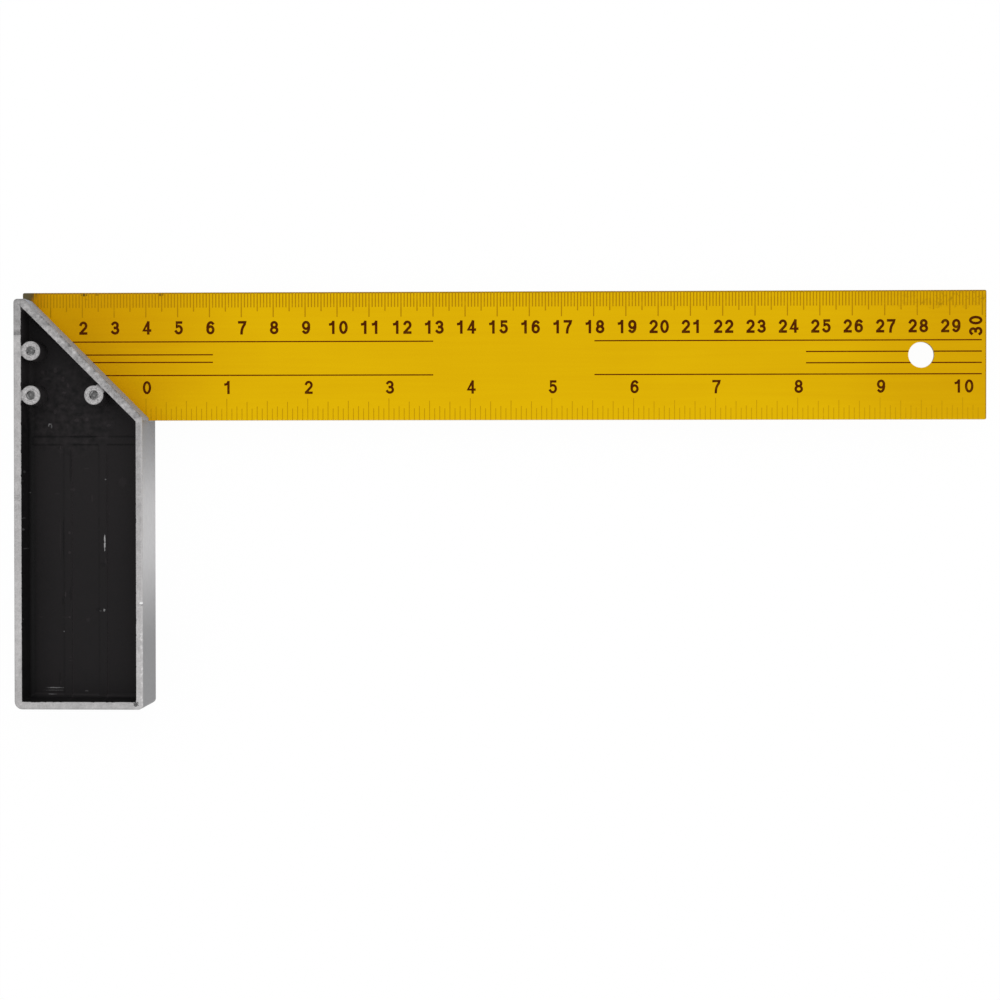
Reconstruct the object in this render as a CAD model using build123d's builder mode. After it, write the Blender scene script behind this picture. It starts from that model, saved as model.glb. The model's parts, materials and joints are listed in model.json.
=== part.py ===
"""Fixed try-and-mitre square with a 300 mm blade.

A hardened steel blade sits in the slot of a die-cast aluminium stock, where three
rivets hold it.  The stock's inner edge is the 90 degree working face, and the 45
degree face above it is the mitre.  Both faces of the stock are pocketed, which leaves
a rim, a web that holds the blade, and a boss round each rivet.

Frame: the origin is the inner corner of the square, halfway through its thickness, so
the square is the same above and below the XY plane.  +X runs along the blade to its
tip and +Y to the blade's outer edge.  Lengths are in millimetres, angles in degrees.
"""

from build123d import *
import os
from math import sqrt

# Blade
blade_length = 300.0
blade_width = 40.0
blade_thickness = 1.2
blade_corner_radius = 0.5
hanging_hole_diameter = 8.0
hanging_hole_to_tip = 20.0

# Stock
stock_thickness = 20.0
working_face_length = 89.6  # from the blade's inner edge to the end of the stock
shoulder_rise = 0.8  # the working face runs this far past the blade's inner edge
blade_stand_out = 2.6  # the blade's outer edge stands this far above the stock
top_land = 3.4  # flat left on the top of the stock, beside the mitre
top_corner_radius = 1.2
outer_corner_radius = 2.5  # at the end, on the outer face
working_corner_radius = 1.5  # at the end, on the working face
edge_radius = 0.5  # along the outer edges of both faces

# Pockets
rim_width = 2.35
working_rim_width = 2.0  # along the working face, which is milled back
slot_wall = 1.35  # casting left on each side of the blade
pocket_draft = 5.0
pocket_corner_radius = 0.8
pocket_floor_radius = 1.5

# Low ribs on the pocket floors: one across, and two from it down to the end
rib_height = 0.3
rib_width = 2.4
cross_rib_drop = 6.3  # centre of the cross rib below the blade's inner edge
long_rib_spacing = 11.0
long_rib_inset = 19.5  # middle of the pair to the working face

# Rivets and the bosses round them
rivet_diameter = 2.2
rivet_head_diameter = 2.7  # both ends are swaged out into countersinks
rivet_head_height = 0.6
rivet_end_recess = 0.25  # below the face of the boss
dimple_diameter = 1.5  # punch mark in each end
dimple_depth = 0.45
outer_rivet_inset = 5.4  # rivet centre to the outer face
inner_rivet_inset = 5.8  # rivet centre to the mitre
rivet_row = 7.6  # lower rivets above the blade's inner edge
rivet_pitch = 13.7  # between the two rivets along the outer face
boss_diameter = 5.9
boss_draft = 2.0
boss_neck_width = 3.2  # ties the boss to the rim
mouth_flare = 0.1  # widening of a rivet hole above the rivet's end

# Fits
slot_clearance = 0.05  # blade to each side of its slot
rivet_clearance = 0.03  # rivet to its hole, on the radius
blade_end_recess = 0.5  # blade's end inside the outer face

# Worked out from the sizes above
run_out = 5.0  # how far a cutting tool passes beyond the metal
half_stock = stock_thickness / 2
half_blade = blade_thickness / 2
half_slot = half_blade + slot_clearance
pocket_depth = half_stock - half_slot - slot_wall
stock_top = blade_width - blade_stand_out
mitre_run = stock_top - shoulder_rise  # at 45 degrees the mitre is as wide as it is high
stock_width = mitre_run + top_land
blade_end_x = blade_end_recess - stock_width
hanging_hole_x = blade_end_x + blade_length - hanging_hole_to_tip
outer_rivet_x = outer_rivet_inset - stock_width
rivet_end = half_stock - rivet_end_recess
inner_rivet_x = shoulder_rise - rivet_row - inner_rivet_inset * sqrt(2)
front = Plane.XY.offset(half_stock)

# Name, centre, and the direction and distance from it to the stock's outline
rivets = [
    ("rivet_outer_upper", (outer_rivet_x, rivet_row + rivet_pitch), 180, outer_rivet_inset),
    ("rivet_outer_lower", (outer_rivet_x, rivet_row), 180, outer_rivet_inset),
    ("rivet_inner", (inner_rivet_x, rivet_row), 45, inner_rivet_inset),
]


def upright(centre):
    """The vertical plane through a rivet's axis."""
    return Plane(origin=(*centre, 0), x_dir=(1, 0, 0), z_dir=(0, -1, 0))


def both_halves(upper_half):
    """A turned profile's (radius, height) points above the XY plane, after their
    mirror image below it."""
    lower_half = [(radius, -height) for radius, height in reversed(upper_half)]
    return lower_half + upper_half


def make_rivet(centre):
    """A rivet with both ends swaged out and punched."""
    profile = both_halves([
        (rivet_diameter / 2, rivet_end - rivet_head_height),
        (rivet_head_diameter / 2, rivet_end),
        (dimple_diameter / 2, rivet_end),
        (0, rivet_end - dimple_depth),
    ])
    with BuildPart() as rivet:
        with BuildSketch(upright(centre)):
            with BuildLine():
                Polyline(*profile, close=True)
            make_face()
        revolve(axis=Axis((*centre, 0), (0, 0, 1)))
    return rivet


# The holes that the rivets fill: the rivet's own profile, eased by its clearance,
# opening out to both faces.
with BuildPart() as rivet_holes:
    shank_hole_radius = rivet_diameter / 2 + rivet_clearance
    head_hole_radius = rivet_head_diameter / 2 + rivet_clearance
    hole_profile = both_halves([
        (shank_hole_radius, rivet_end - rivet_head_height),
        (head_hole_radius, rivet_end),
        (head_hole_radius + mouth_flare, half_stock),
        (head_hole_radius + mouth_flare, half_stock + run_out),
        (0, half_stock + run_out),
    ])
    for _, centre, _, _ in rivets:
        with BuildSketch(upright(centre)):
            with BuildLine():
                Polyline(*hole_profile, close=True)
            make_face()
        revolve(axis=Axis((*centre, 0), (0, 0, 1)))

# The space inside the front pocket: four drafted walls a rim's width in from the
# stock's outline, less the floor ribs, the bosses and their necks.
with BuildPart() as pocket:
    pocket_left = rim_width - stock_width
    pocket_bottom = rim_width - working_face_length
    pocket_mitre = shoulder_rise - rim_width * sqrt(2)  # x + y along its mitre wall
    with BuildSketch(front):
        with BuildLine():
            Polyline(
                (-working_rim_width, pocket_mitre + working_rim_width),
                (pocket_left, pocket_mitre - pocket_left),
                (pocket_left, pocket_bottom),
                (-working_rim_width, pocket_bottom),
                close=True,
            )
        make_face()
    extrude(amount=-pocket_depth)
    draft(pocket.faces().filter_by(Axis.Z, reverse=True), neutral_plane=front, angle=-pocket_draft)
    fillet(pocket.faces().sort_by(Axis.Z)[0].edges(), radius=pocket_floor_radius)
    fillet(pocket.edges().filter_by(Plane.XY, reverse=True), radius=pocket_corner_radius)
    with BuildSketch(front.offset(-pocket_depth)):
        with Locations((-stock_width / 2, -cross_rib_drop)):
            Rectangle(stock_width, rib_width)
        with Locations((-long_rib_inset, -cross_rib_drop)):
            with GridLocations(long_rib_spacing, 0, 2, 1):
                Rectangle(rib_width, working_face_length, align=(Align.CENTER, Align.MAX))
    extrude(amount=rib_height, mode=Mode.SUBTRACT)
    for _, centre, towards_rim, to_outline in rivets:
        with BuildSketch(front):
            with Locations(centre):
                Circle(boss_diameter / 2)
        extrude(amount=-pocket_depth, taper=-boss_draft, mode=Mode.SUBTRACT)
        with BuildSketch(front):
            with Locations(Location(centre, towards_rim)):
                Rectangle(
                    to_outline - rim_width / 2,
                    boss_neck_width,
                    align=(Align.MIN, Align.CENTER),
                )
        extrude(amount=-pocket_depth, mode=Mode.SUBTRACT)

# The casting: outline, broken edges, a pocket in each face, the blade's slot (open at
# the mitre, the top and the outer face) and the rivet holes.
with BuildPart() as stock:
    with BuildSketch() as outline:
        with BuildLine():
            Polyline(
                (0, shoulder_rise),
                (-mitre_run, stock_top),
                (-stock_width, stock_top),
                (-stock_width, -working_face_length),
                (0, -working_face_length),
                close=True,
            )
        make_face()
        for corner, radius in [
            ((-stock_width, stock_top), top_corner_radius),
            ((-stock_width, -working_face_length), outer_corner_radius),
            ((0, -working_face_length), working_corner_radius),
        ]:
            fillet(outline.vertices().sort_by_distance(corner)[0], radius=radius)
    extrude(amount=half_stock, both=True)
    fillet(stock.faces().filter_by(Axis.Z).edges(), radius=edge_radius)
    add(pocket.part, mode=Mode.SUBTRACT)
    add(mirror(pocket.part, about=Plane.XY, mode=Mode.PRIVATE), mode=Mode.SUBTRACT)
    with BuildSketch():
        with Locations((run_out, 0)):
            Rectangle(
                stock_width + 2 * run_out,
                stock_top + run_out,
                align=(Align.MAX, Align.MIN),
            )
    extrude(amount=half_slot, both=True, mode=Mode.SUBTRACT)
    add(rivet_holes.part, mode=Mode.SUBTRACT)

# The blade, standing on the slot's floor.
with BuildPart() as blade:
    with BuildSketch() as blank:
        with Locations((blade_end_x, 0)):
            Rectangle(blade_length, blade_width, align=(Align.MIN, Align.MIN))
        fillet(blank.vertices(), radius=blade_corner_radius)
        with Locations((hanging_hole_x, blade_width / 2)):
            Circle(hanging_hole_diameter / 2, mode=Mode.SUBTRACT)
    extrude(amount=half_blade, both=True)
    add(rivet_holes.part, mode=Mode.SUBTRACT)

pieces = {"stock": stock, "blade": blade}
for name, centre, _, _ in rivets:
    pieces[name] = make_rivet(centre)

os.makedirs("parts", exist_ok=True)
for name, piece in pieces.items():
    piece.part.label = name
    export_step(piece.part, f"parts/{name}.step")
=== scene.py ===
"""Finishes, printed scales, light and camera for a fixed try-and-mitre square.

The stock and the blade come from the frame, and hammered rivets stand for the frame's
plain ones.  The scales are printed on both sides of the blade.  Sizes are in millimetres
unless a name says otherwise, and MM turns them into metres where Blender needs them.
"""

import json
import math

import bpy
import numpy as np
from mathutils import Matrix, Vector


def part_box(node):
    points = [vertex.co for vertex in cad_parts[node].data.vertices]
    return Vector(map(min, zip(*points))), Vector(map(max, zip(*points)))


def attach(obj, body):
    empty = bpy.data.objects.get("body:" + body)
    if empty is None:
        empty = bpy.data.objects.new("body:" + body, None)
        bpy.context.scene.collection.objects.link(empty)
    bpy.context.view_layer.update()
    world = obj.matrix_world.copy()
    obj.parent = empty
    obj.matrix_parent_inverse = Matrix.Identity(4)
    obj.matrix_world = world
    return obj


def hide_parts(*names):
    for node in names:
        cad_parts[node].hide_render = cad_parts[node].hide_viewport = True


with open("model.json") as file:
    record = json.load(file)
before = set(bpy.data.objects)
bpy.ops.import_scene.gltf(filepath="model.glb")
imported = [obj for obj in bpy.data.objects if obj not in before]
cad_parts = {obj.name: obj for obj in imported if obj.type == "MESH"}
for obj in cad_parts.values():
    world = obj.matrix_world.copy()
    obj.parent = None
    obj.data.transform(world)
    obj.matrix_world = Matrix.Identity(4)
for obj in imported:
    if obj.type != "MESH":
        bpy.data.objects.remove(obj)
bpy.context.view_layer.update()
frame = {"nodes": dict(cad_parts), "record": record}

MM = 0.001

# From the frame
blade_low, blade_high = (np.array(corner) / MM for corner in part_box("blade"))
stock_low, stock_high = (np.array(corner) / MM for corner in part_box("stock"))
blade_end, blade_inner_edge, _ = blade_low
blade_tip, blade_outer_edge, blade_face = blade_high
rivet_names = ["rivet_outer_upper", "rivet_outer_lower", "rivet_inner"]
rivet_boxes = [np.array(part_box(name)) / MM for name in rivet_names]
rivet_centres = [box.mean(axis=0)[:2] for box in rivet_boxes]
rivet_head_radius = (rivet_boxes[0][1, 0] - rivet_boxes[0][0, 0]) / 2
rivet_end = rivet_boxes[0][1, 2]
hole = next(mount for mount in frame["record"]["mounts"] if mount["name"] == "hanging_hole")
hole_x, hole_y = (value / MM for value in hole["pos_m"][:2])
hole_radius = hole["dims"]["r_mm"]

# The stock's and the rivets' own sizes that their finishes follow
rim_width = 2.35
working_rim_width = 2.0
mitre_sum = 0.8  # x + y along the mitre
boss_radius = 2.95
rivet_shank_radius = 1.1
rivet_head_height = 0.6
crater_radius = 1.26
crater_depth = 0.4
cross_rib_y = -6.3
long_ribs_middle_x = -19.5
long_ribs_apart = 11.0
half_rib = 1.2

# Scales: the 30 cm mark stands this far inside the tip, and the inch zero at 4 cm
last_mark_inset = 1.25
last_tick = 300
first_tick = 5  # millimetre ticks before this one are not printed
centimetre_zero = blade_tip - last_mark_inset - last_tick
inch_zero = centimetre_zero + 40.0
centimetre_ticks = {10: 7.75, 5: 5.95, 1: 4.7}  # every so many millimetres: length
centimetre_tick_width = 0.34
inch = 25.4
inch_parts = 16
inch_ticks = {16: 6.8, 8: 6.1, 4: 5.8, 2: 4.4, 1: 3.7}  # every so many sixteenths: length
inch_tick_width = 0.22
last_inch = 10
parts_past_last_inch = 3

# Figures
centimetre_figure_height = 4.15
centimetre_figure_width = 2.68
centimetre_figure_base = 26.9
centimetre_pen = 0.8
inch_figure_height = 4.1
inch_figure_width = 2.62
inch_figure_base = 8.25
inch_pen = 0.74
figure_pitch = 3.4
figure_lean = 0.3  # figures stand this far to the right of their tick
last_figure_left = 255.15
last_figure_middle = 28.95

# Centre lines: height above the inner edge, and where each one starts and ends
line_width = 0.36
line_to_hole = 0.05  # where the hanging hole breaks a line
lines_start = -36.0  # inside the slot, past the mitre
lines_end = blade_tip - 1.4
centre_lines = [
    (24.6, lines_start, 89.3),
    (24.6, 139.5, lines_end),
    (20.54, lines_start, 20.3),
    (18.18, lines_start, 20.3),
    (21.1, 205.0, lines_end),
    (17.6, 205.0, lines_end),
    (14.1, lines_start, 89.3),
    (14.1, 139.5, lines_end),
]

# The print is a film: its top stands above the lacquer, and its underside is in it.
# Each stroke of a number lies a little higher than the one before.
ink_top = 0.014
ink_bottom = -0.010
stroke_rise = 0.003

# Light and camera.  The camera is turned about its own X, then its Y, then its Z.
sky_light = 0.78
floor_white = 0.97  # the share that looks white; the rest takes light and shadow
camera_place = (127.884, -18.594, 607.0)
camera_turn_degrees = (-0.5962, 1.6805, -0.0187)
focal_length_pixels = 1947.15
image_pixels = 1000
sensor_width = 36.0


def colour(red, green, blue):
    """A colour that is given as it looks on a screen, from 0 to 255, as linear light."""
    screen = np.array([red, green, blue]) / 255
    linear = np.where(screen <= 0.04045, screen / 12.92, ((screen + 0.055) / 1.055) ** 2.4)
    return (*linear.tolist(), 1.0)


white = (1.0, 1.0, 1.0, 1.0)


# ---------------------------------------------------------------- finishes


class Wire:
    """What one output socket gives.  Arithmetic on it adds Math nodes."""

    def __init__(self, nodes, socket):
        self.nodes = nodes
        self.socket = socket

    def maths(self, operation, *values):
        return self.nodes.node("Math", dict(enumerate(values)), operation=operation)

    def __add__(self, other):
        return self.maths("ADD", self, other)

    __radd__ = __add__

    def __sub__(self, other):
        return self.maths("SUBTRACT", self, other)

    def __rsub__(self, other):
        return self.maths("SUBTRACT", other, self)

    def __mul__(self, other):
        return self.maths("MULTIPLY", self, other)

    __rmul__ = __mul__

    def __truediv__(self, other):
        return self.maths("DIVIDE", self, other)

    def __rtruediv__(self, other):
        return self.maths("DIVIDE", other, self)

    def __abs__(self):
        return self.maths("ABSOLUTE", self)

    def at_most(self, other):
        return self.maths("MINIMUM", self, other)

    def at_least(self, other):
        return self.maths("MAXIMUM", self, other)


class Nodes:
    """The nodes of a material or a world, which starts with none."""

    def __init__(self, owner):
        owner.use_nodes = True
        self.tree = owner.node_tree
        self.tree.nodes.clear()

    def node(self, kind, values=None, output=0, **settings):
        """Adds a node: its settings first, then its sockets' values or links.  Hands back
        the output named, or a list where output is a tuple."""
        made = self.tree.nodes.new("ShaderNode" + kind)
        for setting, value in settings.items():
            setattr(made, setting, value)
        for socket, value in (values or {}).items():
            if isinstance(value, Wire):
                self.tree.links.new(value.socket, made.inputs[socket])
            else:
                made.inputs[socket].default_value = value
        if isinstance(output, tuple):
            return [Wire(self, made.outputs[name]) for name in output]
        return Wire(self, made.outputs[output])


class Finish(Nodes):
    """A material whose pattern follows the piece's own place, in millimetres."""

    def __init__(self, name):
        self.material = bpy.data.materials.new(name)
        super().__init__(self.material)
        metres = self.node("TexCoord", output="Object")
        self.place = self.node("VectorMath", {0: metres, "Scale": 1 / MM}, operation="SCALE")
        self.x, self.y, self.z = self.node("SeparateXYZ", {0: self.place}, output=("X", "Y", "Z"))

    def rise(self, value, low, high):
        """0 below low, 1 above high, and smooth between them."""
        values = {"Value": value, "From Min": low, "From Max": high}
        return self.node("MapRange", values, interpolation_type="SMOOTHSTEP")

    def fall(self, value, low, high):
        """1 below low, 0 above high, and smooth between them."""
        return 1 - self.rise(value, low, high)

    def noise(self, size, stretch=(1, 1, 1), detail=2.0, roughness=0.5, shift=0.0):
        """Noise from about 0 to 1 with features of that size, drawn out by stretch."""
        scale = tuple(1 / (size * factor) for factor in stretch)
        values = {0: self.place, 1: scale, 2: (shift, shift, shift)}
        place = self.node("VectorMath", values, operation="MULTIPLY_ADD")
        values = {"Vector": place, "Scale": 1.0, "Detail": detail, "Roughness": roughness}
        return self.node("TexNoise", values)

    def mix(self, share, first, second):
        """first where share is 0 and second where it is 1, both colours."""
        values = {0: share, 6: first, 7: second}
        return self.node("Mix", values, output=2, data_type="RGBA", clamp_factor=True)

    def spot(self, centre, reach, ragged=0.0):
        """1 inside an ellipse about centre, 0 outside it, with a soft edge."""
        across = (self.x - centre[0]) / reach[0]
        along = (self.y - centre[1]) / reach[1]
        return self.fall(across * across + along * along + ragged, 0.5, 1.3)

    def spots(self, marks, ragged=0.0):
        """The strongest of several marks at each place: centre, reach and strength."""
        strongest = 0.0
        for centre, reach, strength in marks:
            strongest = (self.spot(centre, reach, ragged) * strength).at_least(strongest)
        return strongest

    def surface(self, bump=None, bump_height=0.0, **sockets):
        """Ends the material in a Principled BSDF; bump_height is in millimetres."""
        values = {name.replace("_", " "): value for name, value in sockets.items()}
        if bump is not None:
            relief = {"Height": bump, "Strength": 1.0, "Distance": bump_height * MM}
            values["Normal"] = self.node("Bump", relief)
        shader = self.node("BsdfPrincipled", values)
        self.node("OutputMaterial", {"Surface": shader}, output=())
        return self.material


# Dark smudges along the blade's outer edge: centre, reach and strength
smudges = [
    ((-20.2, 39.3), (1.1, 0.45), 1.0),
    ((-16.0, 39.4), (0.7, 0.35), 0.6),
    ((-19.6, 37.9), (0.5, 0.25), 0.35),
    ((4.0, 39.3), (0.9, 0.40), 0.8),
]


def lacquered_blade():
    """Yellow lacquer on steel: bare and dark along the sheared edges and at the corner
    over the stock, deepened by painted shade near the stock and the tip, lifted by
    painted light beside the mitre, with faint rolling lines."""
    finish = Finish("yellow_lacquer")
    yellow = colour(221, 177, 2)
    deep_yellow = colour(194, 139, 1)
    stain = colour(170, 104, 6)
    grime = colour(104, 78, 14)

    streaks = finish.noise(1.0, stretch=(40, 1, 1), detail=3.0)
    clouds = finish.noise(28.0, detail=3.0)
    # Painted shade: the yellow deepens towards the stock and towards the tip, where the light falls
    # off
    painted_shade_near_stock = finish.fall(finish.x, -22.0, 40.0)
    painted_shade_near_tip = finish.rise(finish.x, 190.0, 265.0)
    low_edge = finish.fall(finish.y, 2.0, 11.0)
    depth = 0.10 + painted_shade_near_stock * 0.7 + painted_shade_near_tip * 0.4 - low_edge * 0.12
    depth = depth + (streaks - 0.5) * 0.25 + (clouds - 0.5) * 0.3
    tone = finish.mix(depth, yellow, deep_yellow)

    # Painted light: the yellow is lifted beside the mitre, where the stock's shade falls
    painted_light_beside_mitre = finish.fall(finish.x + finish.y - mitre_sum, 0.0, 9.0)
    tone = finish.mix(painted_light_beside_mitre * 0.9, tone, colour(216, 158, 2))

    fringe = finish.noise(1.4, detail=4.0, roughness=0.7)
    to_end = finish.x - blade_end
    to_outer_edge = blade_outer_edge - finish.y
    stained = finish.fall(to_end, 3.5, 11.0) * finish.fall(to_outer_edge, 1.0, 9.0) * 0.6
    tone = finish.mix(stained, tone, stain)
    dirty = finish.fall(to_outer_edge, 0.15, 0.2 + 0.8 * fringe) * 0.8
    dirty = dirty.at_least(finish.spots(smudges, (fringe - 0.5) * 0.9))
    thumbed = finish.rise(finish.x, 225.0, 245.0) * finish.fall(to_outer_edge, 4.0, 6.5)
    dirty = dirty.at_least(finish.rise(fringe, 0.52, 0.66) * thumbed * 0.45)
    dirty = dirty.at_least(finish.fall(blade_tip - finish.x, 0.1, 0.5) * 0.6)
    tone = finish.mix(dirty, tone, grime)

    corner = finish.fall(to_end + to_outer_edge * 0.7 + (fringe - 0.5) * 1.8, 3.4, 6.2)
    sheared = finish.rise(blade_face - abs(finish.z), 0.02, 0.06)
    bare = corner.at_least(sheared)
    bare_steel = finish.mix(finish.rise(to_end, 1.0, 4.5), colour(92, 84, 60), colour(104, 78, 18))
    gloss = finish.noise(0.6, detail=2.0)
    return finish.surface(
        Base_Color=finish.mix(bare, tone, bare_steel),
        Metallic=bare * 0.5,
        Roughness=0.45 + gloss * 0.12,
        Specular_IOR_Level=0.02,
        bump=gloss * 0.6 + streaks * 0.4,
        bump_height=0.004,
    )


def print_ink(name, ink, show_through, thinning=None):
    """Brown ink, thin in patches where the lacquer shows through it, and thinner still
    towards the tip where thinning gives the two x between which that sets in."""
    finish = Finish(name)
    patches = finish.rise(finish.noise(2.2, detail=5.0, roughness=0.7), 0.5, 0.75) * show_through
    shown = patches
    if thinning:
        shown = patches + finish.rise(finish.x, *thinning) * 0.4
    return finish.surface(
        Base_Color=finish.mix(shown, ink, colour(208, 163, 4)),
        Roughness=0.5 + patches * 0.1,
        Specular_IOR_Level=0.02,
    )


# Where the black paint of the front pocket is chipped down to the metal
chips = [
    ((-30.8, -1.1), (0.45, 0.25), 0.6),
    ((-31.1, -1.5), (0.20, 0.50), 0.4),
    ((-30.2, -1.7), (0.22, 0.60), 0.3),
    ((-13.2, -18.4), (0.26, 0.16), 0.3),
    ((-13.5, -37.0), (0.22, 1.40), 0.6),
    ((-13.5, -38.9), (0.25, 1.10), 0.6),
    ((-13.5, -40.3), (0.15, 0.60), 0.5),
    ((-13.7, -59.3), (0.30, 0.42), 0.55),
    ((-14.9, -59.5), (0.50, 0.25), 0.08),
    ((-26.4, -66.0), (0.22, 0.22), 0.4),
    ((-29.4, -83.6), (2.70, 0.17), 0.6),
    ((-29.8, -84.4), (3.00, 0.14), 0.25),
    ((-30.3, -85.6), (1.30, 0.15), 0.4),
    ((-19.3, -84.6), (0.65, 0.22), 0.2),
    ((-37.4, -16.0), (0.10, 0.35), 0.12),
    ((-36.8, -22.5), (0.20, 0.20), 0.12),
    ((-37.5, -30.4), (0.16, 0.12), 0.18),
    ((-37.5, -33.9), (0.10, 0.35), 0.12),
    ((-37.3, -39.9), (0.20, 0.16), 0.1),
]

# Runs, lumps and lint in the same paint, raised in the bump and lightened as painted highlight
lumps_and_highlights = [
    ((-33.1, 15.1), (0.6, 0.7), 0.6),
    ((-29.0, 15.7), (0.7, 0.8), 0.7),
    ((-31.5, 13.1), (1.3, 0.4), 0.5),
    ((-26.6, 12.9), (0.6, 0.9), 0.8),
    ((-25.0, 11.0), (0.5, 0.7), 0.9),
    ((-26.3, 8.7), (0.8, 0.4), 0.8),
    ((-27.1, 4.5), (1.2, 0.6), 0.5),
    ((-23.4, 4.0), (0.9, 0.8), 0.5),
    ((-31.2, 4.7), (0.9, 0.4), 0.4),
    ((-29.1, 2.8), (0.6, 0.8), 0.7),
    ((-22.3, 0.0), (0.9, 0.6), 0.9),
    ((-19.0, 0.3), (0.6, 0.6), 0.7),
    ((-12.2, -1.5), (0.8, 0.6), 0.7),
    ((-27.5, -8.4), (0.2, 0.9), 0.9),
    ((-27.6, -10.8), (0.2, 1.2), 0.3),
    ((-27.6, -37.1), (0.2, 6.5), 0.4),
    ((-19.3, -15.0), (0.9, 0.3), 0.5),
    ((-28.4, -22.9), (0.8, 0.3), 0.4),
    ((-23.5, -21.6), (0.9, 0.6), 0.4),
    ((-17.5, -24.4), (0.3, 1.3), 0.4),
    ((-7.8, -19.3), (1.3, 1.6), 0.3),
    ((-24.6, -35.1), (0.5, 0.5), 0.9),
    ((-24.6, -41.3), (0.5, 0.5), 1.0),
    ((-13.2, -44.0), (0.4, 1.0), 0.4),
    ((-25.9, -54.4), (0.3, 0.9), 1.0),
    ((-24.6, -61.5), (0.5, 0.4), 1.0),
    ((-25.9, -61.5), (1.2, 0.2), 0.4),
    ((-33.8, -61.5), (0.7, 0.2), 0.5),
    ((-18.8, -62.4), (0.7, 0.7), 0.4),
    ((-24.3, -74.1), (0.6, 0.2), 0.6),
    ((-24.5, -75.1), (0.6, 0.2), 0.6),
    ((-27.6, -82.1), (0.3, 0.7), 0.5),
]

# Hollows in the same paint, sunk in the bump and darkened as painted shade
hollows_and_shade = [
    ((-20.6, -5.1), (4.2, 0.3), 0.8),
    ((-32.0, 15.0), (0.4, 0.7), 0.7),
    ((-22.0, 1.9), (1.3, 0.5), 0.8),
    ((-20.6, 0.4), (0.4, 0.7), 0.6),
    ((-25.7, 7.1), (0.6, 0.6), 0.4),
    ((-24.2, -14.4), (0.3, 5.0), 0.7),
    ((-26.6, -37.1), (0.3, 6.4), 0.6),
    ((-14.0, -45.0), (0.9, 0.7), 0.5),
    ((-26.9, -56.4), (0.3, 1.3), 0.6),
    ((-24.3, -54.2), (0.3, 2.2), 0.6),
    ((-15.6, -59.2), (0.8, 0.7), 0.6),
    ((-27.9, -80.8), (0.3, 1.9), 0.5),
]

# Fine scratches across the left of the rim
scratches = [((-39.0, y), (1.3, 0.09), 1.0) for y in (-23.3, -23.9, -24.4, -24.9)]

# A painted highlight line along the fillet at the end wall: its y where x is 0, and its fall to the
# right
highlight_line_y = -86.35
highlight_line_slope = 0.028

# The left of the rim is darker above this height, painted shade where the grinding changed the face's
# plane
shaded_grinding_step_y = 26.0


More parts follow.
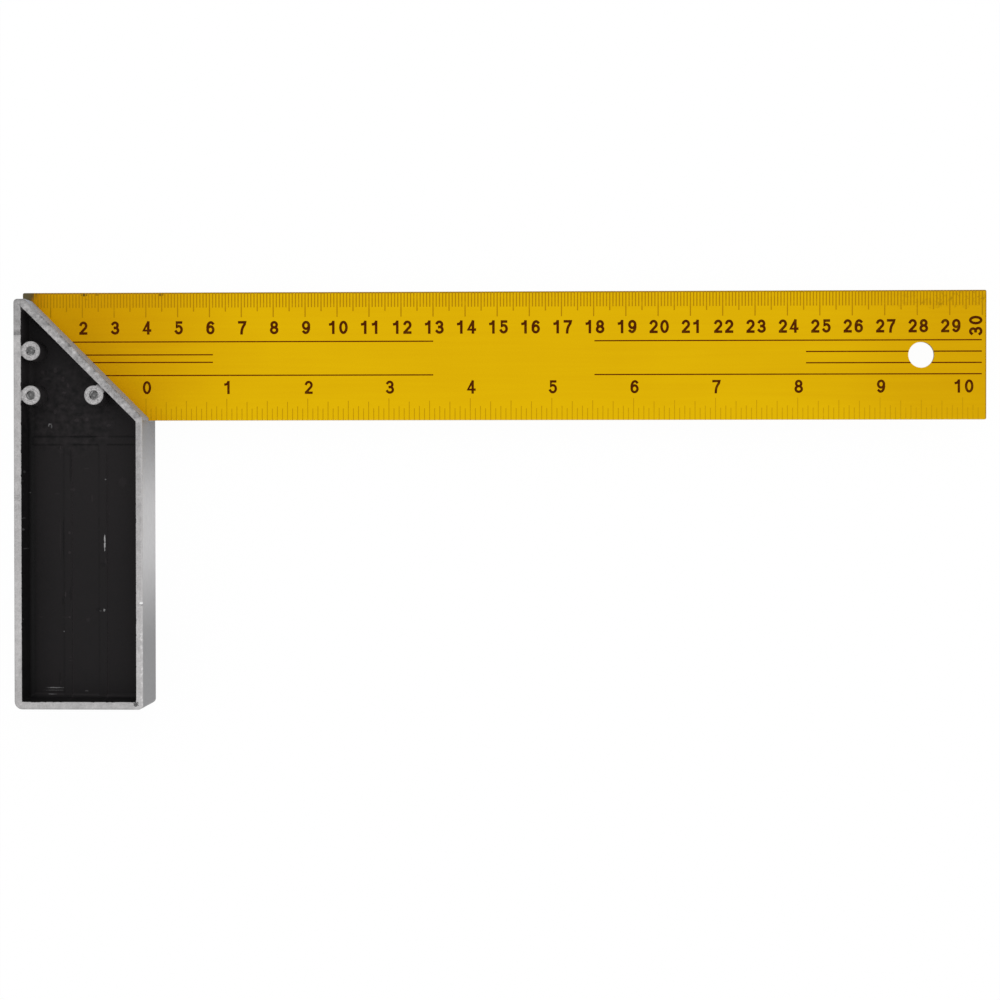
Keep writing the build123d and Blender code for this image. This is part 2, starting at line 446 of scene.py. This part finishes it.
class CastFinish(Finish):
    """The casting's finish, which knows how far each place is from the casting's sides
    and, as below_face, from the nearer of its two faces."""

    def __init__(self):
        super().__init__("cast_aluminium")
        self.ragged = self.noise(1.3, detail=4.0, roughness=0.65)
        self.coarse = self.noise(3.2, detail=5.0, roughness=0.65, shift=3.0)
        self.fine = self.noise(0.45, detail=3.0, roughness=0.7, shift=5.0)
        self.front = self.rise(self.z, 0.0, 0.1)
        self.swellings = self.spots(lumps_and_highlights, (self.fine - 0.5) * 1.6) * self.front
        self.sunken = self.spots(hollows_and_shade, (self.fine - 0.5) * 1.6) * self.front
        self.from_left = self.x - stock_low[0]
        self.from_right = stock_high[0] - self.x
        self.from_bottom = self.y - stock_low[1]
        self.from_top = stock_high[1] - self.y
        self.from_mitre = (mitre_sum - self.x - self.y) * math.sqrt(0.5)
        self.below_face = stock_high[2] - abs(self.z)

    def bosses(self, share):
        """1 within that share of the bosses' radius, 0 outside it, with a soft edge."""
        inside = 0.0
        for centre in rivet_centres:
            inside = self.spot(centre, (boss_radius * share, boss_radius * share)) + inside
        return inside

    def paint_cover(self):
        """1 on the pockets' black paint, which creeps over the rim's inner edge, and 0 on
        bare metal, also where the paint is chipped."""
        inset = self.from_left.at_most(self.from_right + (rim_width - working_rim_width))
        inset = inset.at_most(self.from_bottom).at_most(self.from_mitre).at_most(self.from_top)
        walls = self.rise(self.below_face, 0.08, 0.12 + self.ragged * 0.5)
        walls = walls * self.rise(inset, 1.5, 1.7)
        creep = self.rise(inset + (self.ragged - 0.6) * 1.1, rim_width - 0.10, rim_width)
        painted = walls.at_least(creep * (1 - self.bosses(1.1)))
        chipped = self.spots(chips, (self.fine - 0.5) * 4.0) * self.front
        speckled = self.rise(self.noise(0.9, detail=3.0, shift=7.0), 0.80, 0.84) * 0.3
        wall_specks = self.fall(self.below_face, 1.5, 3.5) * self.rise(self.ragged, 0.68, 0.74) * 0.6
        return painted * (1 - chipped.at_least(speckled).at_least(wall_specks))

    def rib_feet(self):
        """1 in the dark lines of painted shade at the feet of the pocket floor's ribs."""
        beside_cross_rib = abs(self.y - cross_rib_y) - half_rib
        beside_long_ribs = abs(abs(self.x - long_ribs_middle_x) - long_ribs_apart / 2) - half_rib
        cross_feet = self.fall(abs(beside_cross_rib), 0.1, 0.5)
        cross_feet = cross_feet * self.rise(beside_long_ribs, 0.0, 0.9)
        long_feet = self.fall(abs(beside_long_ribs), 0.1, 0.6) * self.rise(self.coarse, 0.45, 0.6)
        long_feet = long_feet * self.fall(self.y, cross_rib_y - 1.6, cross_rib_y - 1.0) * 0.5
        return cross_feet.at_least(long_feet) * self.rise(self.below_face, 7.4, 7.6)

    def raised_lines(self):
        """Painted highlight: a light line along the fillet at the end wall, and a thin light
        line just past the right foot of each long rib, lifting the ribs' shade."""
        to_highlight_line = abs(self.y - highlight_line_y + self.x * highlight_line_slope)
        # Painted highlight along the end wall's fillet
        lip = self.fall(to_highlight_line, 0.1, 0.4) * self.rise(self.from_left, 3.8, 4.6)
        past_rib = self.x - long_ribs_middle_x - half_rib - 0.12
        painted_light_past_ribs = self.fall(abs(abs(past_rib) - long_ribs_apart / 2), 0.1, 0.25)
        painted_light_past_ribs = painted_light_past_ribs * self.fall(self.y, cross_rib_y - 1.4, cross_rib_y - 1.2)
        return (lip * 0.15 + painted_light_past_ribs * 0.3) * self.front

    def black_paint(self):
        """Matt black, with painted shade along the left and end walls and at the ribs' feet,
        the texture of an orange's skin round the bosses, and painted light on the bosses'
        sides and on the upper left wall."""
        below_bosses = self.fall(self.y, -3.0, 10.0)
        # Painted shade: darker paint along the left and end walls and at the left wall's foot, where
        # the walls shade the floor
        painted_shade_by_walls = self.fall(self.from_left, 3.5, 6.0) * (0.15 + below_bosses * 0.85)
        painted_shade_by_walls = painted_shade_by_walls.at_least(self.fall(self.from_bottom, 2.5, 4.6) * 0.75)
        painted_shade_left_foot = self.fall(self.from_left, 3.5, 4.9) * self.rise(self.below_face, 5.5, 6.5)
        blotches = self.noise(2.0, detail=1.5, roughness=0.6, shift=13.0)
        orange_peel = (blotches - 0.5) * self.spot((-24.0, 4.0), (16.0, 15.0))
        level = 0.205 - painted_shade_by_walls * 0.13 - painted_shade_left_foot * below_bosses * 0.12
        # Painted shade at the ribs' feet, and painted highlight lines past the long ribs and along
        # the end wall
        level = level - self.rib_feet() * 0.15 + self.raised_lines()
        # Painted highlight on the lumps and painted shade in the hollows
        level = level + self.swellings * 0.38 - self.sunken * 0.16
        level = level + (self.coarse - 0.5) * 0.25 + orange_peel * 0.95
        level = level - self.fall(self.y, -50.0, -20.0) * 0.045
        black = self.mix(level, colour(10, 9, 10), colour(53, 48, 50))
        # Painted light: the bosses' sides and the upper left wall are made paler, lifting the shade
        # that falls on them
        upper_wall = (1 - below_bosses) * self.fall(self.from_left, 2.9, 4.0)
        painted_light_on_walls = self.bosses(1.3).at_least(upper_wall * 0.7) * self.fall(self.below_face, 7.7, 8.0)
        return self.mix(painted_light_on_walls * 0.42, black, colour(64, 61, 62))

    def rim_metal(self):
        """Ground metal on the bosses' ends and the rim, whose four sides differ."""
        mitre_rim = self.fall(self.from_mitre, 2.5, 2.7)
        right_rim = self.fall(self.from_right, 2.2, 2.4) * (1 - mitre_rim)
        left_rim = self.fall(self.from_left, 2.5, 2.7)
        # Painted shade on the left rim above the grinding step
        above_step = left_rim * self.rise(self.y, shaded_grinding_step_y, shaded_grinding_step_y + 0.3)
        at_step = above_step * self.fall(self.y, shaded_grinding_step_y + 0.9, shaded_grinding_step_y + 2.3)
        level = 0.66 - mitre_rim * 0.18 - above_step * 0.24 - at_step * 0.3
        level = level + left_rim * self.spot((-39.0, -60.0), (3.0, 15.0)) * 0.14
        level = level + right_rim * (0.14 - self.rise(self.y, -75.0, -25.0) * 0.25)
        level = level - right_rim * self.rise(self.y, -14.0, 0.0) * 0.14
        level = level - self.spots(scratches) * 0.35 - self.fall(self.from_mitre, 0.3, 0.8) * 0.2
        dent_edge = (self.fine - 0.5) * 2.0
        level = level - self.spot((-22.4, 23.0), (0.6, 0.6), dent_edge) * 0.7
        level = level + self.spot((-20.9, 21.3), (0.9, 0.9), dent_edge) * 0.35
        level = level + self.bosses(1.0) * ((self.fine - 0.5) * 1.6 - 0.06)
        level = level + (self.ragged - 0.5) * (0.5 + mitre_rim * 1.1)
        level = level + (self.coarse - 0.5) * 0.8 + (self.fine - 0.5) * 0.7
        return self.mix(level, colour(108, 107, 107), colour(206, 204, 204))

    def side_metal(self, on_mitre):
        """Milled metal on the outer faces, with a painted sheen that is brightest a third of
        the way down, and a painted cool reflection that makes the mitre bluer."""
        # Painted sheen: brightest about a third of the way down the outer faces and darker towards
        # the top, where a soft light's reflection falls
        painted_sheen = self.fall(abs(self.y + 33.5), 3.0, 38.0)
        level = 0.24 + painted_sheen * 0.72 - self.rise(self.y, -26.0, -12.0) * 0.06
        level = level + (self.coarse - 0.5) * 0.2 + (self.ragged - 0.5) * 0.15
        milled = self.mix(level, colour(100, 100, 102), colour(206, 205, 206))
        # Painted reflection: a cool blue-grey on the mitre, against the yellow that the blade throws
        # on it
        painted_cool_reflection = self.mix(self.ragged, colour(122, 132, 152), colour(182, 188, 196))
        return self.mix(on_mitre, milled, painted_cool_reflection)

    def worn_edge(self, metal):
        """That metal, with the front's working edge broken, rubbed bright near its end, given
        a painted glint, and nicked in two places."""
        broken = self.fall(self.from_right, 0.35, 0.5) * self.fall(self.below_face, 0.4, 0.5)
        metal = self.mix(broken * 0.4, metal, colour(215, 213, 213))
        near_front = self.fall(self.below_face, 0.4, 0.7) * self.front
        rubbed = self.fall(abs(self.from_right - 0.35), 0.15, 0.5) * near_front
        rubbed = rubbed * self.rise(self.ragged, 0.50, 0.60) * self.fall(self.y, -66.0, -60.0)
        metal = self.mix(rubbed * 0.8, metal, colour(230, 228, 228))
        # Painted highlight: a glint on the working edge
        glint = self.spot((-0.3, -56.6), (0.7, 0.3), (self.fine - 0.5) * 2.0) * near_front
        metal = self.mix(glint, metal, colour(250, 250, 250))
        nicks = self.spot((-2.1, -87.9), (0.8, 0.8), (self.fine - 0.5) * 5.0)
        nicks = nicks.at_least(self.spot((-0.2, -57.2), (0.5, 0.2)) * 0.5)
        return self.mix(nicks * near_front * 0.85, metal, colour(30, 28, 28))


def cast_stock():
    """Die-cast aluminium: bare and ground on the rim, the bosses' ends and the outer
    faces, and matt black paint, chipped in places, in both pockets."""
    finish = CastFinish()
    painted = finish.paint_cover()
    outside = finish.rise(finish.below_face, 0.25, 0.5)
    on_mitre = finish.fall(finish.from_mitre, 0.5, 0.8) * outside
    metal = finish.mix(outside, finish.rim_metal(), finish.side_metal(on_mitre))
    metal = finish.worn_edge(metal)
    grain = finish.noise(0.4, stretch=(1, 9, 1), detail=3.0)
    metal = finish.mix(grain * 0.3, metal, colour(128, 127, 128))
    ruffled = finish.noise(0.8, detail=4.0, shift=11.0)
    paint_relief = (finish.swellings - finish.sunken) * 2.5 + painted * 1.5
    return finish.surface(
        Base_Color=finish.mix(painted, metal, finish.black_paint()),
        Metallic=(1 - painted) * (0.6 - on_mitre * 0.5),
        Roughness=0.42 + finish.coarse * 0.16 + painted * 0.22,
        Specular_IOR_Level=0.2,
        bump=ruffled * 0.5 + grain * 0.5 + paint_relief,
        bump_height=0.04,
    )


def peened_steel():
    """Steel hammered down into its hole: dull, and darkened by painted shade where it is deepest."""
    finish = Finish("peened_steel")
    sunk = finish.node("Attribute", output="Fac", attribute_name="sunk")
    dents = finish.noise(0.45, detail=4.0, roughness=0.65)
    # Painted shade: the crater darkens with its depth
    level = sunk * 0.7 + (dents - 0.5) * 0.9
    return finish.surface(
        Base_Color=finish.mix(level, colour(156, 156, 156), colour(60, 60, 60)),
        Metallic=0.5,
        Roughness=0.5 + dents * 0.2,
        Specular_IOR_Level=0.3,
        bump=dents,
        bump_height=0.1,
    )


# ---------------------------------------------------------------- meshes


def piece(name, corners, faces, material):
    """A mesh object in the object's frame, from corners in millimetres."""
    mesh = bpy.data.meshes.new(name)
    mesh.from_pydata((np.asarray(corners) * MM).tolist(), [], faces)
    mesh.materials.append(material)
    made = bpy.data.objects.new(name, mesh)
    bpy.context.scene.collection.objects.link(made)
    return made


def tube_faces(rings, sides, closed=False):
    """Faces round a tube, given as rings of corners one after the other.  Corner i of ring
    k is number k * sides + i.  Each ring is joined to the next, and the last to the first
    where the tube is closed.  An open tube has a face across each end."""
    ring = np.arange(rings if closed else rings - 1)[:, None] * sides
    following = (ring + sides) % (rings * sides)
    side = np.arange(sides)
    beside = (side + 1) % sides
    round_faces = [ring + side, ring + beside, following + beside, following + side]
    faces = np.stack(round_faces, axis=2).reshape(-1, 4).tolist()
    if not closed:
        faces.append([0, *range(sides - 1, 0, -1)])
        faces.append([*range((rings - 1) * sides, rings * sides)])
    return faces


def smooth(value):
    """0 below 0, 1 above 1, and 3t^2 - 2t^3 between them."""
    value = np.clip(value, 0, 1)
    return value * value * (3 - 2 * value)


def peened_rivet(name, centre, turn, steel):
    """A rivet with both ends swaged out and hammered.

    It is a surface turned about the rivet's axis.  At a distance r from the axis and an
    angle a round it, an end is this far below its highest level:

        crater_depth * sunk * (1 - 0.8 nub) + lip

    sunk = smooth((edge(a) - r) / 0.3), where
    edge(a) = crater_radius (1 + 0.16 cos(2a + turn) + 0.10 cos(3a + 2 turn) + 0.06 cos(7a))
    is the crater's ragged edge,
    nub = exp(-((r cos(a - turn) - 0.2)^2 + (r sin(a - turn))^2) / 0.14) is metal left
    standing off its middle, and lip = 0.1 smooth((r - rivet_shank_radius) / 0.25) breaks
    the outer edge.  Below each end come the swaged cone and the shank.  The attribute
    "sunk" keeps sunk * (1 - 0.8 nub) for the rivet's finish."""
    segments = 60
    angle = np.linspace(0, 2 * np.pi, segments, endpoint=False)
    reaches = np.linspace(0.03, rivet_head_radius, 22)
    r, a = np.meshgrid(reaches, angle, indexing="ij")
    raggedness = 0.16 * np.cos(2 * a + turn) + 0.10 * np.cos(3 * a + 2 * turn) + 0.06 * np.cos(7 * a)
    sunk = smooth((crater_radius * (1 + raggedness) - r) / 0.3)
    nub = np.exp(-((r * np.cos(a - turn) - 0.2) ** 2 + (r * np.sin(a - turn)) ** 2) / 0.14)
    sunk = sunk * (1 - 0.8 * nub)
    lip = 0.1 * smooth((r - rivet_shank_radius) / 0.25)
    height = rivet_end - crater_depth * sunk - lip
    end = np.stack([r * np.cos(a), r * np.sin(a), height], axis=2)
    foot = np.column_stack([
        rivet_shank_radius * np.cos(angle),
        rivet_shank_radius * np.sin(angle),
        np.full(segments, rivet_end - rivet_head_height),
    ])
    front = np.concatenate([end, foot[None]])
    rings = np.concatenate([front * (1, 1, -1), front[::-1]])
    sunk = np.concatenate([sunk, np.zeros((1, segments))])
    sunk = np.concatenate([sunk, sunk[::-1]])

    corners = rings.reshape(-1, 3) + (*centre, 0)
    rivet = piece(name, corners, tube_faces(len(rings), segments), steel)
    # The attribute carries the crater's depth to the finish, which darkens it there as painted shade
    rivet.data.attributes.new("sunk", "FLOAT", "POINT").data.foreach_set("value", sunk.ravel())
    rivet.data.shade_smooth()
    return rivet


# ---------------------------------------------------------------- print


def arc(centre, reach, start, end, steps=14):
    """Points on an ellipse about centre, from one angle in degrees to another."""
    angle = np.radians(np.linspace(start, end, steps))
    return np.column_stack([
        centre[0] + reach[0] * np.cos(angle),
        centre[1] + reach[1] * np.sin(angle),
    ])


def run(*points):
    """Straight lines through the points given."""
    return np.array(points, float)


# The pen's paths for each figure, in a cell from -0.5 to 0.5 across and from 0 to 1 up.
# A closed path has True beside it.
figures = {
    "0": [(arc((0, 0.5), (0.5, 0.5), 0, 345, 24), True)],
    "1": [
        (run((0.12, 0), (0.12, 1)), False),
        (arc((-0.40, 1.12), (0.52, 0.34), 272, 335, 7), False),
    ],
    "2": [
        (np.vstack([arc((0, 0.71), (0.47, 0.29), 158, -38, 16), run((-0.37, 0.08))]), False),
        (run((-0.46, 0), (0.46, 0)), False),
    ],
    "3": [
        (arc((-0.02, 0.75), (0.44, 0.25), 150, -90), False),
        (arc((0, 0.26), (0.5, 0.26), 90, -150), False),
    ],
    "4": [
        (run((0.24, 0), (0.24, 1)), False),
        (run((0.20, 1), (-0.54, 0.26), (0.54, 0.26)), False),
    ],
    "5": [
        (
            np.vstack([
                run((0.40, 1), (-0.30, 1), (-0.42, 0.50)),
                arc((0, 0.33), (0.5, 0.33), 132, -150, 18),
            ]),
            False,
        )
    ],
    "6": [
        (arc((0, 0.31), (0.48, 0.31), 0, 345, 22), True),
        (arc((0.06, 0.5), (0.54, 0.5), 52, 196, 14), False),
    ],
    "7": [
        (np.vstack([run((-0.5, 1), (0.46, 1)), arc((1.15, -0.02), (1.27, 1.02), 128, 180, 8)]), False)
    ],
    "8": [
        (arc((0, 0.76), (0.42, 0.24), 0, 345, 20), True),
        (arc((0, 0.26), (0.5, 0.26), 0, 345, 22), True),
    ],
}
figures["9"] = [(np.array((0, 1)) - path, closed) for path, closed in figures["6"]]


def ink_line(path, width, closed=False, lift=0.0, cap=0.0):
    """Corners and faces of a slab of ink along path.

    At each point of the path the slab's section is a rectangle: the point, plus or minus
    half the width along the mean of the two legs' normals (made longer at a bend, so
    that the width holds), at the film's bottom and top.  lift raises the top, and cap
    lengthens both ends of an open path."""
    path = np.array(path, float)
    if not closed:
        first, last = path[0] - path[1], path[-1] - path[-2]
        path[0] += first / np.linalg.norm(first) * cap
        path[-1] += last / np.linalg.norm(last) * cap
    legs = np.diff(np.vstack([path, path[:1]]) if closed else path, axis=0)
    normals = np.column_stack([-legs[:, 1], legs[:, 0]])
    normals /= np.linalg.norm(legs, axis=1)[:, None]
    before = np.roll(normals, 1, axis=0) if closed else np.vstack([normals[:1], normals])
    after = normals if closed else np.vstack([normals, normals[-1:]])
    stretch = np.maximum(1 + (before * after).sum(axis=1), 0.75)[:, None]
    across = (before + after) / stretch * width / 2
    outline = np.stack([path + across, path + across, path - across, path - across], axis=1)
    top = ink_top + lift
    heights = np.broadcast_to([[ink_bottom], [top], [top], [ink_bottom]], (len(path), 4, 1))
    corners = np.concatenate([outline, heights], axis=2).reshape(-1, 3)
    return corners, np.array(tube_faces(len(path), 4, closed))


def figure_lines(text, height, width, pen, upright=True):
    """Ink lines of a number, centred across and standing on y = 0."""
    shapes = []
    for place, figure in enumerate(text):
        offset = (place - (len(text) - 1) / 2) * figure_pitch
        for path, closed in figures[figure]:
            points = path * (width - pen, height - pen) + (offset, pen / 2)
            if not upright:
                points = np.column_stack([-points[:, 1], points[:, 0]])
            shapes.append(ink_line(points, pen, closed, len(shapes) * stroke_rise, pen / 2))
    return shapes


def printed(name, marks, side, ink):
    """One piece of print: each mark is a place on the blade and its ink lines there.
    side is 1 on the front and -1 on the back, where a mark is turned about its own
    upright axis, so that it reads true from behind."""
    corners = []
    faces = []
    count = 0
    for (x, y), lines in marks:
        for own_corners, own_faces in lines:
            turned = own_corners * (side, 1, side)
            corners.append(turned + (x, y, side * blade_face))
            faces.append(own_faces + count)
            count += len(own_corners)
    film = piece(name, np.vstack(corners), np.vstack(faces).tolist(), ink)
    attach(film, "root")


def tick(length, width):
    """One tick from the blade's edge: upwards, or downwards where length is negative."""
    return [ink_line([(0, 0), (0, length)], width)]


def tick_length(count, lengths):
    """The length for the largest step that divides count."""
    return next(length for step, length in lengths.items() if count % step == 0)


def centimetre_tick_marks():
    marks = []
    for count in range(first_tick, last_tick + 1):
        length = tick_length(count, centimetre_ticks)
        place = (centimetre_zero + count, blade_outer_edge)
        marks.append((place, tick(-length, centimetre_tick_width)))
    return marks


def inch_tick_marks():
    marks = []
    for count in range(last_inch * inch_parts + parts_past_last_inch + 1):
        length = tick_length(count, inch_ticks)
        place = (inch_zero + count * inch / inch_parts, blade_inner_edge)
        marks.append((place, tick(length, inch_tick_width)))
    return marks


def centimetre_figure_marks(side):
    """2 to 29 upright beside their ticks, and 30 turned to fit inside the tip."""
    size = (centimetre_figure_height, centimetre_figure_width, centimetre_pen)
    marks = []
    for count in range(2, 30):
        place = (centimetre_zero + 10 * count + side * figure_lean, centimetre_figure_base)
        marks.append((place, figure_lines(str(count), *size)))
    foot = last_figure_left + (centimetre_figure_height if side > 0 else 0)
    marks.append(((foot, last_figure_middle), figure_lines("30", *size, upright=False)))
    return marks


def inch_figure_marks(side):
    size = (inch_figure_height, inch_figure_width, inch_pen)
    marks = []
    for count in range(last_inch + 1):
        place = (inch_zero + inch * count + side * figure_lean, inch_figure_base)
        marks.append((place, figure_lines(str(count), *size)))
    return marks


def centre_line_marks():
    """The centre lines, each broken where it would cross the hanging hole."""
    marks = []
    for height, start, end in centre_lines:
        stretches = [(start, end)]
        from_hole = abs(height - hole_y)
        if start < hole_x < end and from_hole < hole_radius:
            half_gap = math.sqrt(hole_radius**2 - from_hole**2) + line_to_hole
            stretches = [(start, hole_x - half_gap), (hole_x + half_gap, end)]
        for left, right in stretches:
            half = (right - left) / 2
            marks.append(((left + half, height), [ink_line([(-half, 0), (half, 0)], line_width)]))
    return marks


figure_ink = print_ink("figure_ink", colour(76, 30, 0), 0.12)
line_ink = print_ink("line_ink", colour(86, 16, 0), 0.12)
centimetre_tick_ink = print_ink("centimetre_tick_ink", colour(171, 125, 4), 0.5)
inch_tick_ink = print_ink("inch_tick_ink", colour(180, 137, 4), 0.6, (60.0, 200.0))
for face, side in (("front", 1), ("back", -1)):
    printed(f"centimetre_ticks_{face}", centimetre_tick_marks(), side, centimetre_tick_ink)
    printed(f"inch_ticks_{face}", inch_tick_marks(), side, inch_tick_ink)
    printed(f"centimetre_figures_{face}", centimetre_figure_marks(side), side, figure_ink)
    printed(f"inch_figures_{face}", inch_figure_marks(side), side, figure_ink)
    printed(f"centre_lines_{face}", centre_line_marks(), side, line_ink)


def give(node, material):
    """Gives a piece of the frame its finish."""
    slots = frame["nodes"][node].data.materials
    slots.clear()
    slots.append(material)


give("stock", cast_stock())
give("blade", lacquered_blade())
steel = peened_steel()
for name, centre, turn in zip(rivet_names, rivet_centres, (0.6, 2.3, 4.4)):
    rivet = peened_rivet(f"peened_{name}", centre, turn, steel)
    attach(rivet, "root")
    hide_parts(name)

# ---------------------------------------------------------------- stage, light, camera


def white_to_the_eye(finish, shader, share):
    """The shader given, with that share of it white where a camera, a mirror or a glass
    sees it."""
    rays = ("Is Camera Ray", "Is Glossy Ray", "Is Transmission Ray")
    to_camera, to_mirror, to_glass = finish.node("LightPath", output=rays)
    seen = to_camera.at_least(to_mirror).at_least(to_glass)
    glow = finish.node("Emission", {"Color": white, "Strength": 1.0})
    return finish.node("MixShader", {0: seen * share, 1: shader, 2: glow})


def floor():
    """A white floor under the square's back rim; it keeps a faint shadow."""
    reach = 6000.0
    finish = Finish("floor_white")
    matt = finish.node("BsdfDiffuse", {"Color": white})
    white_floor = white_to_the_eye(finish, matt, floor_white)
    finish.node("OutputMaterial", {"Surface": white_floor}, output=())
    corners = [(-reach, -reach), (reach, -reach), (reach, reach), (-reach, reach)]
    corners = [(*corner, stock_low[2]) for corner in corners]
    piece("floor", corners, [(0, 1, 2, 3)], finish.material)


def sky():
    """White where the camera looks at it, and a plain grey for the light that it gives."""
    world = bpy.data.worlds.new("studio")
    bpy.context.scene.world = world
    nodes = Nodes(world)
    seen = nodes.node("LightPath", output="Is Camera Ray")
    strength = seen * (1 - sky_light) + sky_light
    background = nodes.node("Background", {"Color": white, "Strength": strength})
    nodes.node("OutputWorld", {"Surface": background}, output=())


def lamp(name, place, size, power):
    """A square soft box that faces the middle of the square; place in metres."""
    data = bpy.data.lights.new(name, "AREA")
    data.size = size
    data.energy = power
    light = bpy.data.objects.new(name, data)
    target = Vector(((blade_end + blade_tip) / 2 * MM, 0, 0))
    light.location = place
    light.rotation_mode = "QUATERNION"
    light.rotation_quaternion = (target - light.location).to_track_quat("-Z", "Y")
    bpy.context.scene.collection.objects.link(light)


def camera():
    data = bpy.data.cameras.new("camera")
    data.sensor_width = sensor_width
    data.lens = focal_length_pixels * sensor_width / image_pixels
    data.clip_start = 0.01
    data.clip_end = 100.0
    view = bpy.data.objects.new("camera", data)
    turn = Matrix.Identity(4)
    for degrees, axis in zip(camera_turn_degrees, "XYZ"):
        turn = turn @ Matrix.Rotation(math.radians(degrees), 4, axis)
    view.matrix_world = Matrix.Translation(Vector(camera_place) * MM) @ turn
    bpy.context.scene.collection.objects.link(view)
    bpy.context.scene.camera = view


floor()
sky()
lamp("left_softbox", (-0.5, 0.4, 1.1), 1.8, 3.2)
lamp("right_softbox", (0.7, 0.7, 1.0), 1.6, 3.0)
lamp("near_softbox", (0.5, -0.4, 1.2), 1.6, 1.6)
camera()
bpy.context.scene.view_settings.view_transform = "Standard"
